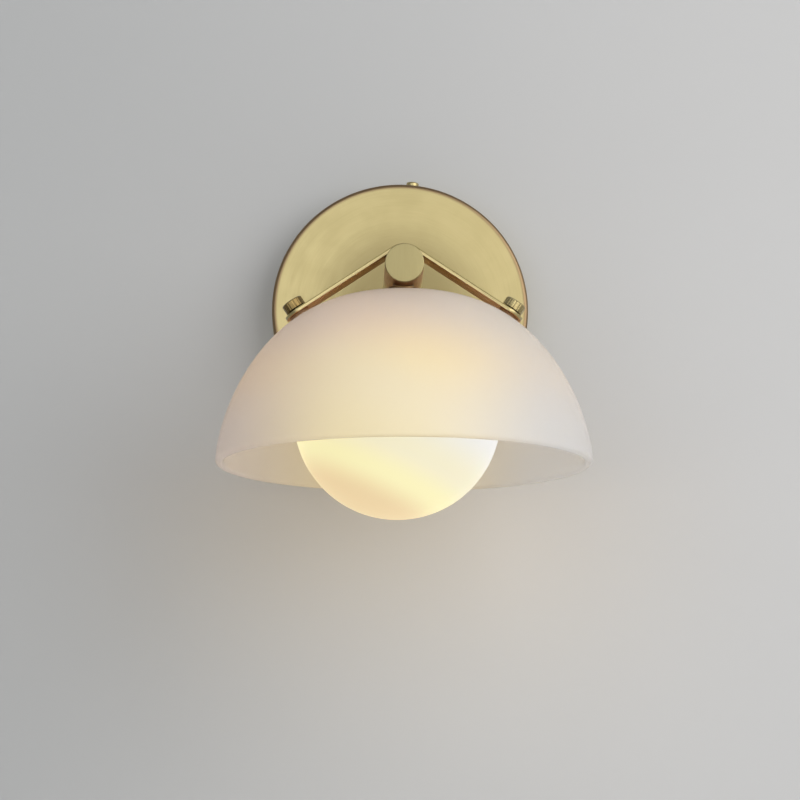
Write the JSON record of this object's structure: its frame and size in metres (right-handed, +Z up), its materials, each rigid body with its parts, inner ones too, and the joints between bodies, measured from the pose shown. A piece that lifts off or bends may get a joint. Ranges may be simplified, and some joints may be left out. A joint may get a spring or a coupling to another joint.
{
  "type": "wall sconce",
  "caption": "Wall downlight with a round canopy, a straight arm, a bent strap holding a frosted glass dome, and an opal globe below it.",
  "frame": {"origin": "on the wall, in the middle of the canopy and of the box screw slots, on the arm's axis", "axes": "+Y goes into the wall, +Z is up, +X is to the viewer's right as the viewer faces the wall"},
  "size_m": [0.1774, 0.2167, 0.1857],
  "materials": {
    "brushed_brass": "satin, finely brushed",
    "dark_brass": "plain turned",
    "zinc_steel": "zinc plated",
    "green_screw": "green dyed",
    "frosted_glass": "satin white, acid etched",
    "opal_glass": "gloss opal, lit",
    "lamp_glass": "milky",
    "ceramic": "unglazed steatite",
    "led_board": "white coated",
    "silicone": "milky silicone",
    "brown_rubber": "matt",
    "black_insulation": "matt sleeve",
    "white_insulation": "matt sleeve",
    "green_insulation": "matt sleeve",
    "connector_nylon": "moulded"
  },
  "bodies": {
    "fixture": {"wall_plate": "zinc_steel", "ground_screw": "green_screw", "canopy": "brushed_brass", "arm_nipple": "zinc_steel", "canopy_lock_washer": "zinc_steel", "canopy_lock_nut": "zinc_steel", "arm_rear_bush": "dark_brass", "arm_tube": "brushed_brass", "arm_end_cap": "brushed_brass", "stem_block": "dark_brass", "yoke_strap": "brushed_brass", "yoke_screw": "brushed_brass", "stem_nipple": "zinc_steel", "shade_top_washer": "dark_brass", "shade": "frosted_glass", "shade_inner_washer": "silicone", "stem_lock_nut": "zinc_steel", "left_outer_seal": "brown_rubber", "right_outer_seal": "brown_rubber", "left_grommet": "silicone", "right_grommet": "silicone", "left_inner_seal": "brown_rubber", "right_inner_seal": "brown_rubber", "left_shade_nut": "brushed_brass", "right_shade_nut": "brushed_brass", "globe_cup": "brushed_brass", "socket_cap": "zinc_steel", "socket_body": "ceramic", "socket_contacts": "dark_brass", "live_lead": "black_insulation", "neutral_lead": "white_insulation", "ground_lead": "green_insulation", "wire_connectors": "connector_nylon"},
    "left_washer": {"left_thumb_washer": "dark_brass"},
    "left_thumbscrew": {"left_thumbscrew": "brushed_brass"},
    "right_washer": {"right_thumb_washer": "dark_brass"},
    "right_thumbscrew": {"right_thumbscrew": "brushed_brass"},
    "globe_gasket": {"globe_gasket": "silicone"},
    "globe": {"globe_collar": "zinc_steel", "globe": "opal_glass"},
    "lamp": {"bulb_base": "ceramic", "bulb_pins": "zinc_steel", "bulb_envelope": "lamp_glass", "bulb_led_board": "led_board"},
    "upper_canopy_screw": {"canopy_screw_upper": "brushed_brass"},
    "lower_canopy_screw": {"canopy_screw_lower": "brushed_brass"}
  },
  "joints": [
    {"name": "left_thumbscrew_travel", "type": "slide", "parent": "fixture", "child": "left_washer", "axis": [-0.5505, 0, 0.8348], "range_m": [0, 0.00385]},
    {"name": "left_thumbscrew_turn", "type": "hinge", "parent": "left_washer", "child": "left_thumbscrew", "pos_m": [-0.0494, -0.128, -0.02153], "axis": [-0.5505, 0, 0.8348], "range_deg": [0, 1980]},
    {"name": "right_thumbscrew_travel", "type": "slide", "parent": "fixture", "child": "right_washer", "axis": [0.5505, 0, 0.8348], "range_m": [0, 0.00385]},
    {"name": "right_thumbscrew_turn", "type": "hinge", "parent": "right_washer", "child": "right_thumbscrew", "pos_m": [0.0494, -0.128, -0.02153], "axis": [0.5505, 0, 0.8348], "range_deg": [0, 1980]},
    {"name": "globe_travel", "type": "slide", "parent": "fixture", "child": "globe_gasket", "axis": [-0.0454, 0, -0.999], "range_m": [0, 0.0046]},
    {"name": "globe_turn", "type": "hinge", "parent": "globe_gasket", "child": "globe", "pos_m": [0, -0.128, 0], "axis": [-0.0454, 0, -0.999], "range_deg": [0, 540]},
    {"name": "lamp_pull", "type": "slide", "parent": "fixture", "child": "lamp", "axis": [-0.0454, 0, -0.999], "range_m": [0, 0.012]},
    {"name": "upper_canopy_screw_turn", "type": "hinge", "parent": "fixture", "child": "upper_canopy_screw", "pos_m": [0, -0.012, 0], "axis": [0.0976, 0, 0.9952], "continuous": true},
    {"name": "lower_canopy_screw_turn", "type": "hinge", "parent": "fixture", "child": "lower_canopy_screw", "pos_m": [0, -0.012, 0], "axis": [-0.0976, 0, -0.9952], "continuous": true}
  ],
  "couplings": [
    {"joint": "left_thumbscrew_turn", "follows": "left_thumbscrew_travel", "rad_per_m": 8976},
    {"joint": "right_thumbscrew_turn", "follows": "right_thumbscrew_travel", "rad_per_m": 8976},
    {"joint": "globe_travel", "follows": "globe_turn", "m_per_rad": 0.00047746}
  ]
}
